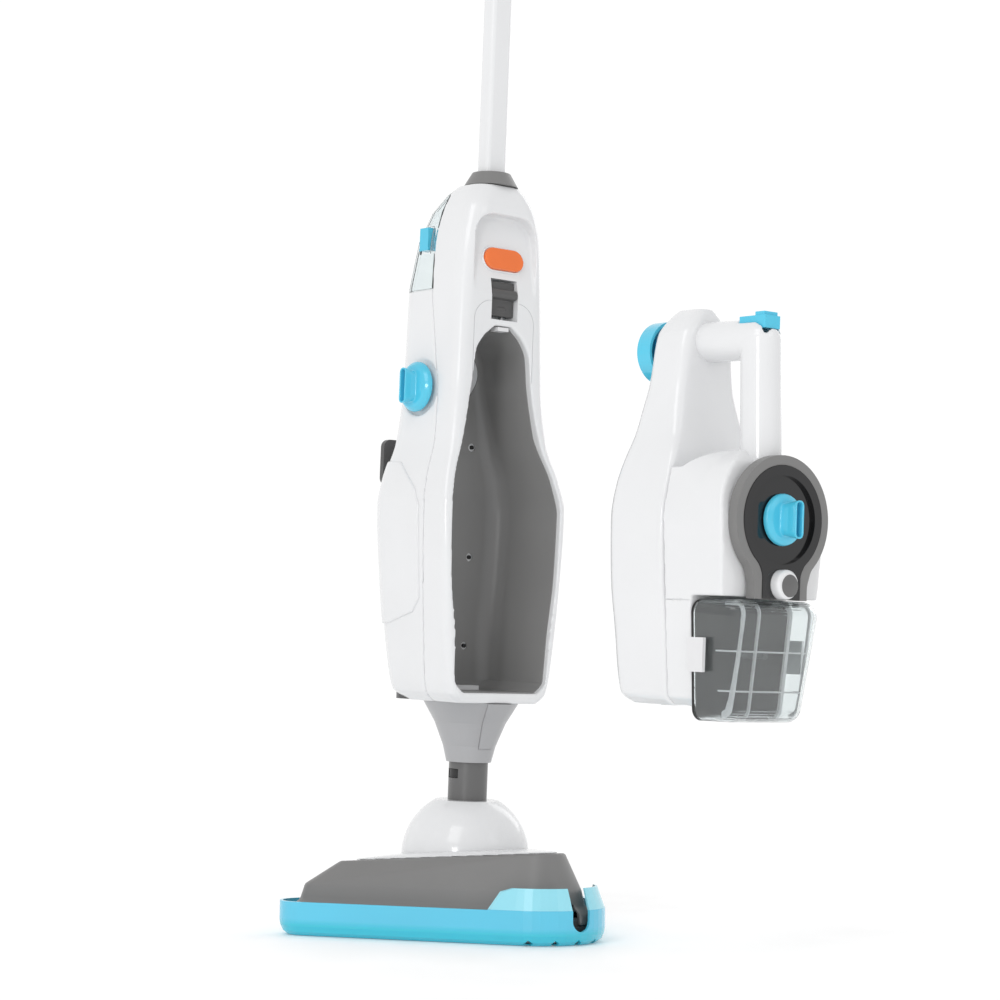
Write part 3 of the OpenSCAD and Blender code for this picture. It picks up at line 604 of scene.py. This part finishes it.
def build_side_panels(material):
    """Slightly raised panels on both flanks of the body."""
    for name, start, end in (("left_side_panel", -90, -20), ("right_side_panel", 20, 90)):
        panel = build(
            name, loft_mesh(name, BODY_ROWS, grow=1.6), voxel=1.1, keep=0.5,
            keep_inside=[prism_mesh("edge", PANEL, "X", start, end)],
            cut=[loft_mesh("inside", BODY_ROWS, grow=-3.5)])
        settle(panel, UPRIGHT, "upright", material["white_gloss"], name)


def build_liner(material):
    """The bay's thin grey lining with a pocket for the nozzle collar, a raised panel and screw wells."""
    lip = [(-36, 190), (-36, 208), (-37, 254), (-36, 365), (-30, 400), (-22, 430), (-20, 475), (-20, 530)]
    behind = prism_mesh("behind", lip + [(120, 530), (120, 190)], "X", -90, 90)
    liner = build(
        "bay_liner", loft_mesh("liner", BAY_ROWS, grow=0.8, low=0.8, high=0.8), voxel=0,
        add=[prism_mesh("collar_wall", disc_outline(0, NOZZLE_Z, 29), "Y", 20, 46.8)],
        keep_inside=[behind],
        cut=[loft_mesh("hollow", BAY_ROWS), prism_mesh("pocket", disc_outline(0, NOZZLE_Z, 27), "Y", -20, 45),
             prism_mesh("nozzle_hole", disc_outline(0, NOZZLE_Z, 11), "Y", 0, 60)])
    ramp = [(-9, 232), (18, 232), (24, 250), (24, 372), (16, 416), (-5, 416), (-14, 372), (-14, 250)]
    raised = build("raised_panel", loft_mesh("raised", BAY_ROWS, grow=0.4), voxel=0,
                   keep_inside=[prism_mesh("ramp", ramp, "Y", 20, 60)],
                   cut=[loft_mesh("under", BAY_ROWS, grow=-1.0)])
    combine(liner, raised.data, "UNION")
    bpy.data.objects.remove(raised)
    for x, z, y in BAY_SCREWS:
        for side in (-1, 1):
            well = prism_mesh("well", disc_outline(side * x, z, 3.7, 24), "Y", y - 8, y + 3)
            combine(liner, well, "DIFFERENCE")
    settle(liner, UPRIGHT, "upright", material["liner_grey"], "bay_liner")
    liner.data.set_sharp_from_angle(angle=math.radians(35))


def pill_mesh(name, half, radius, start, end):
    """Flat capsule on its side, extruded in depth."""
    right = []
    for turn in np.linspace(-math.pi / 2, math.pi / 2, 20):
        right.append((half + radius * math.cos(turn), radius * math.sin(turn)))
    left = [(-x, -z) for x, z in right]
    return prism_mesh(name, right + left, "Y", start, end)


def build_badge(material):
    """Domed orange capsule in a white surround, on the sloping floor of the hand recess."""
    half = 11.5
    place = UPRIGHT @ Matrix.Translation((0, BADGE_Y, BADGE_Z)) @ Matrix.Rotation(-FLOOR_LEAN, 4, "X")
    badge = build("name_badge", pill_mesh("badge", half, 9.6, -4.0, -0.3), voxel=0.5, passes=6, keep=0.6)
    settle(badge, place, "upright", material["orange"], "name_badge")
    surround = build("badge_surround", pill_mesh("surround", half, 11.4, -1.8, 1.5), voxel=0.6, passes=4,
                     keep=0.6, cut=[pill_mesh("hole", half, 9.8, -6, -0.2)])
    settle(surround, place, "upright", material["white_gloss"])


def build_latch(material):
    """Plate with a round ridge for the thumb and a raised bar under it."""
    back = box_mesh("latch", (-14, 14), (-20.5, -14), (LATCH_Z - 14, LATCH_Z + 16))
    ridge = prism_mesh("ridge", disc_outline(-22.5, LATCH_Z + 5, 4.5, 24), "X", -13.6, 13.6)
    bar = box_mesh("bar", (-4, 4), (-21.4, -19), (LATCH_Z - 9, LATCH_Z - 6.6))
    latch = build("dock_latch", back, add=[ridge, bar], voxel=0.55, passes=4, keep=0.5)
    settle(latch, UPRIGHT, "latch", material["dark_grey"], "dock_latch")


def build_knob(name, place, body, radius, deep, lever, material):
    """Domed disc with a hollow, tapered grip across it, turning about the local Z axis."""
    profile = ((0, 0.93), (0.5, 0.99), (1.4, 1.0), (3.0, 0.99), (4.4, 0.95), (deep - 0.6, 0.84), (deep, 0.76))
    disc = tube_mesh("disc", [ring(radius * share, z) for z, share in profile])
    length, width, top = lever
    foot = section(length * 0.78, width * 1.9, width * 1.9, width * 1.5, width * 1.5)
    middle = section(length * 0.93, width * 1.25, width * 1.25, width, width)
    head = section(length, width, width, width * 0.9, width * 0.9)
    rings = [level(foot, deep * 0.5), level(middle, deep + (top - deep) * 0.45), level(head, top)]
    inside = section(length - 1.6, width - 1.5, width - 1.5, width * 0.5, width * 0.5)
    hollow = tube_mesh("hollow", [level(inside, deep + 1), level(inside, top + 3)])
    knob = build(name, disc, add=[tube_mesh("grip", rings)], cut=[hollow], voxel=0.55, passes=5, keep=0.5)
    settle(knob, place, body, material["turquoise"], name)


# ---- Handheld unit ----

CASING_ROWS = [
    (209, 37, 28, 24, 12, 3), (216, 45, 28, 33, 14, 3), (262, 49, 28, 38.5, 15, 3),
    (308, 54.5, 28, 40.5, 16, 3), (354, 56.5, 28, 40.5, 16, 3), (381, 52.5, 28, 39, 15, 3),
    (400, 47.5, 27, 36, 15, 5), (421, 39.5, 22, 32.5, 14, 8), (442, 34.5, 18, 29, 12, 9),
    (460, 31, 16, 26.5, 12, 9), (498, 26, 16, 24, 11, 9), (512, 17, 15, 20, 9, 9), (520, 8, 13, 16, 6, 6)]
DRUM_Z = 353
DRUM_R = 56
DRUM_FACE = 93
GRIP_R = 16
TANK_HALF = 51
TANK_BACK = -58.6


def capsule_mesh(name, start, end, radius):
    """Round bar with domed ends between two points."""
    start, end = Vector(start), Vector(end)
    turn = (end - start).to_track_quat("Z", "Y").to_matrix().to_4x4()
    length = (end - start).length
    rings = []
    for i in range(1, 20):
        angle = math.pi * i / 20
        rise = -radius * math.cos(angle) + (length if i >= 10 else 0)
        level_ring = ring(radius * math.sin(angle), rise, 32)
        rings.append([tuple(start + turn @ Vector(point)) for point in level_ring])
    return tube_mesh(name, rings)


def build_casing(material):
    peg_slot = box_mesh("peg_slot", (-14, 14), (3, 60), (190, 214.4))
    casing = build("handheld_rear_shell", loft_mesh("casing", CASING_ROWS), cut=[peg_slot], passes=3)
    settle(casing, HANDHELD, "handheld", material["white_gloss"], "handheld_rear_shell")


def build_drum(material):
    """Drum round the control panel, with cheeks down to the tank and shoulders that meet the casing."""
    profile = [(-28.3, 209.5), (-46, 209.5), (-50, 207), (-57.4, 207), (-57.4, 293.5),
               (2 - DRUM_FACE, 293.5), (-DRUM_FACE, DRUM_Z), (8 - DRUM_FACE, 396), (-74, 407), (-52, 404),
               (-40, 392), (-28.3, 392)]
    cheeks = [(-DRUM_R, DRUM_Z), (-49, 262), (-45, 216), (-37, 209), (-37, 200), (37, 200), (37, 209),
              (45, 216), (49, 262), (DRUM_R, DRUM_Z)]
    shoulders = [(x, y, z) for y in (-22, -30) for x, z in ((-54, 360), (54, 360), (48, 400), (-48, 400))]
    shoulders += [(x, y, z) for y in (-30, -66) for x, z in disc_outline(0, DRUM_Z, DRUM_R - 0.2, 72)]
    drum = build(
        "handheld_front_shell", prism_mesh("drum", disc_outline(0, DRUM_Z, DRUM_R, 96), "Y", -120, -20),
        add=[prism_mesh("cheeks", cheeks, "Y", -119, -21), hull_mesh("shoulders", shoulders)],
        keep_inside=[prism_mesh("profile", profile, "X", -70, 70)], passes=12, keep=0.6)
    for side in (-1, 1):
        seam = box_mesh("seam", (side * 50.5, side * 60), (-57, -20), (289.7, 290.4))
        combine(drum, seam, "DIFFERENCE")
    settle(drum, HANDHELD, "handheld", material["white_gloss"], "handheld_front_shell")


def build_grip(material):
    """Round bar forward from the casing's head and a grip hanging from it, with the trigger's slot."""
    elbow = (0, -72, 492)
    slot = box_mesh("slot", (-8.9, 8.9), (-84.9, -55.1), (495.4, 530))
    grip = build("handheld_grip", capsule_mesh("bar", (0, -10, 494), elbow, GRIP_R),
                 add=[capsule_mesh("grip", elbow, (0, -76, 400), GRIP_R)],
                 cut=[slot, loft_mesh("casing", CASING_ROWS, grow=-3)], passes=6)
    settle(grip, HANDHELD, "handheld", material["white_gloss"], "handheld_grip")


def tank_mesh(name, inset):
    """The water tank's rounded block, or a smaller one inside it."""
    points = []
    corners = ((10, TANK_BACK, 281, 10), (14, TANK_BACK, 209, 10), (16, -90, 280, 12), (22, -82, 211, 12))
    for side in (-1, 1):
        for across, deep, high, radius in corners:
            reach = radius - inset
            for i in range(13):
                up = math.pi * i / 12
                for j in range(24):
                    turn = math.pi * j / 12
                    x = side * (TANK_HALF - across) + math.sin(up) * math.cos(turn) * reach
                    forward = 0 if deep == TANK_BACK else math.sin(up) * math.sin(turn) * reach
                    points.append((x, deep + forward, high + math.cos(up) * reach))
    return hull_mesh(name, points)


def build_tank_ribs(material):
    """Moulded ribs and the fill lines inside the front wall of the tank."""
    depth, height = (-120, -80), (190, 290)
    ribs = bpy.data.objects.new("tank_ribs", box_mesh("rib", (-36, -34.6), depth, height))
    bpy.context.scene.collection.objects.link(ribs)
    for x, width in ((-20, 1.4), (12, 3.0), (34, 1.4)):
        combine(ribs, box_mesh("rib", (x, x + width), depth, height), "UNION")
    for z in (222, 252):
        combine(ribs, box_mesh("fill_line", (-50, 50), depth, (z, z + 1.3)), "UNION")
    combine(ribs, tank_mesh("outside", 2.3), "INTERSECT")
    combine(ribs, tank_mesh("inside", 4.6), "DIFFERENCE")
    settle(ribs, HANDHELD, "tank", material["white_satin"])
    ribs.data.set_sharp_from_angle(angle=math.radians(35))


# ---- Head ----

CORNER_X, CORNER_R = 126, 27
NOSE_Y, NOSE_R = 100, 56
HEAD_SLOPE = math.radians(4.3)
DOME_Z = 65
DOME_R = 55.4


def head_outline(inset, count=160):
    """Rounded triangle of the head, evenly stepped, like the one that the CAD pieces follow."""
    bend = max(8, CORNER_R - inset)
    shift = inset - CORNER_R + bend
    circles = [(CORNER_X - 1.9 * shift, 50 - shift, bend), (-CORNER_X + 1.9 * shift, 50 - shift, bend),
               (0, -NOSE_Y, NOSE_R - inset)]
    points = []
    for i in range(count):
        turn = 2 * math.pi * i / count
        ray = Vector((math.cos(turn), math.sin(turn)))
        x, y, r = max(circles, key=lambda c: c[0] * ray.x + c[1] * ray.y + c[2])
        points.append((x + r * ray.x, y + r * ray.y))
    spaced = []
    steps = [math.dist(points[i], points[(i + 1) % count]) for i in range(count)]
    for (ax, ay), (bx, by), gap in zip(points, points[1:] + points[:1], steps):
        pieces = max(1, round(gap / 6))
        spaced += [(ax + (bx - ax) * k / pieces, ay + (by - ay) * k / pieces) for k in range(pieces)]
    return spaced


def layered_mesh(name, layers):
    """Solid through head outlines, each given as height and inset, lofted as a convex stack."""
    return hull_mesh(name, [(x, y, height) for height, inset in layers for x, y in head_outline(inset)])


def ball_mesh(name, centre_z, radius, count=64):
    rings = []
    for i in range(1, count // 2):
        up = 2 * math.pi * i / count
        rings.append(ring(radius * math.sin(up), centre_z - radius * math.cos(up), count))
    return tube_mesh(name, rings)


def sloped(points, z):
    """Lays flat points on the tilted top of the head, which rises towards the nose."""
    return [(x, y * math.cos(HEAD_SLOPE), z - y * math.sin(HEAD_SLOPE)) for x, y in points]


def head_top(name, inset):
    """Upper part of the housing, or the room inside it at an inset."""
    points = [(x, y, z) for z, side in ((28.7, 17), (42, 20)) for x, y in head_outline(side + inset)]
    points += sloped(head_outline(34 + inset), 64 - inset)
    points += sloped(disc_outline(0, 0, DOME_R + 4 - inset, 72), 64 - inset)
    return hull_mesh(name, points)


def build_head(material):
    """Grey housing with a flared foot and a rising top, and the white plate that lies on it."""
    foot = [layered_mesh("skirt", [(15, 9.5), (23.5, 10.2)]),
            layered_mesh("flare", [(23.3, 10.2), (29, 16.8)])]
    room = [ball_mesh("dish", DOME_Z, DOME_R + 1.2), layered_mesh("hollow", [(10, 12.4), (26, 16)]),
            head_top("room", 2.8), box_mesh("slot", (-7.5, 7.5), (-170, -128), (10, 32))]
    housing = build("head_housing", head_top("top", 0), add=foot, cut=room, voxel=1.3, passes=5, keep=0.35)
    settle(housing, HEAD, "head", material["mid_grey"], "head_housing")
    housing.data.set_sharp_from_angle(angle=math.radians(50))
    plate = sloped(head_outline(40), 64) + sloped(head_outline(40.8), 65.4)
    plate += sloped(disc_outline(0, 0, DOME_R + 3, 72), 68.4)
    cover = build("head_cover", hull_mesh("plate", plate), voxel=0.9, passes=3, keep=0.4,
                  cut=[head_top("under", -0.1), ball_mesh("dish", DOME_Z, DOME_R + 1)])
    settle(cover, HEAD, "head", material["white_gloss"], "head_cover")


def build_pad(material):
    """Microfibre pad: a soft rounded rim, sewn channels and rows of tufts underneath."""
    layers = ((0.5, 19.3), (0.15, 17.6), (0.7, 16.8), (1.6, 16.4), (2.0, 12), (2.8, 10.4), (4.4, 10),
              (5.9, 10.3), (6.9, 12.5))
    rings = [level(head_outline(inset), z) for z, inset in layers]
    least = min(len(points) for points in rings)
    rings = [[points[int(i * len(points) / least)] for i in range(least)] for points in rings]
    pad = bpy.data.objects.new("microfibre_pad_cloth", tube_mesh("pad", rings))
    bpy.context.scene.collection.objects.link(pad)
    round_edges(pad, 2.2, 2, 1.0)
    mesh = pad.data
    flat = np.empty(len(mesh.vertices) * 3)
    mesh.vertices.foreach_get("co", flat)
    points = flat.reshape(-1, 3)
    under = np.clip((1.2 - points[:, 2]) / 0.8, 0, 1)
    tufts = 0.5 + 0.5 * np.sin(points[:, 0] * 1.05) * np.sin(points[:, 1] * 1.05)
    channels = np.exp(-((np.mod(points[:, 1] + 20, 40) - 20) / 1.6) ** 2)
    points[:, 2] += under * (0.35 * tufts + 0.7 * channels)
    points[:, 2] = np.clip(points[:, 2], 0.02, 6.98)
    mesh.vertices.foreach_set("co", points.ravel())
    mesh.update()
    settle(pad, HEAD, "head", material["microfibre"], "microfibre_pad")


# ---- Carried-over CAD pieces ----


def finish_cad_nodes(material):
    """Gives each remaining CAD piece its material and a small rounded edge."""
    slots = {entry["node"]: entry["material_slot"] for entry in frame["record"]["subparts"]}
    # The bay's screws take the near-black plastic as painted shade in their wells
    special = {"carpet_glider": "glider", "neck_tube": "tube_grey", "tube_button": "black_and_shade",
               "bay_screws": "black_and_shade", "tank_back": "black_and_shade"}
    for name, obj in frame["nodes"].items():
        obj.data.materials.clear()
        obj.data.materials.append(material[special.get(name, slots[name])])
        bevel = obj.modifiers.new("edge", "BEVEL")
        bevel.width = 0.0006
        bevel.segments = 2
        bevel.limit_method = "ANGLE"
        bevel.angle_limit = math.radians(40)
        obj.data.shade_smooth()
        obj.data.set_sharp_from_angle(angle=math.radians(50))


def build_power_button(material):
    """Round white button with a grey face set off its centre."""
    place = HANDHELD @ Matrix.Translation((0, -DRUM_FACE - 6, 304)) @ Matrix.Rotation(math.pi / 2, 4, "X")
    rings = [ring(radius, z) for radius, z in ((11.4, 0), (11.4, 8), (11.0, 10), (9.4, 11.6))]
    button = build("power_button", tube_mesh("button", rings), voxel=0.5, passes=4, keep=0.5)
    settle(button, place, "power_key", material["white_gloss"], "power_button")
    steps = ((8.6, 9.0), (8.6, 11.7), (8.2, 11.95))
    rings = [level(disc_outline(0.9, -0.9, radius, 48), z) for radius, z in steps]
    face = build("button_face", tube_mesh("face", rings), voxel=0)
    settle(face, place, "power_key", material["tube_grey"])


add_camera()
materials = make_materials()
add_studio()
finish_cad_nodes(materials)
build_front_shell(materials)
build_rear_shell(materials)
build_side_panels(materials)
build_liner(materials)
build_badge(materials)
build_latch(materials)
dial_place = UPRIGHT @ Matrix.Translation((-51.8, DIAL_Y, DIAL_Z)) @ Matrix.Rotation(-math.pi / 2, 4, "Y")
build_knob("detergent_dial", dial_place, "detergent_knob", 22, 7.4, (15.6, 4.4, 17.4), materials)
build_casing(materials)
build_drum(materials)
build_grip(materials)
build_tank_ribs(materials)
dial_place = HANDHELD @ Matrix.Translation((0, -DRUM_FACE - 7, DRUM_Z)) @ Matrix.Rotation(math.pi / 2, 4, "X")
dial_place = dial_place @ Matrix.Rotation(math.pi / 2, 4, "Z")
build_knob("steam_dial", dial_place, "steam_knob", 20, 6.0, (14.6, 4.4, 19.8), materials)
build_power_button(materials)
build_head(materials)
build_pad(materials)
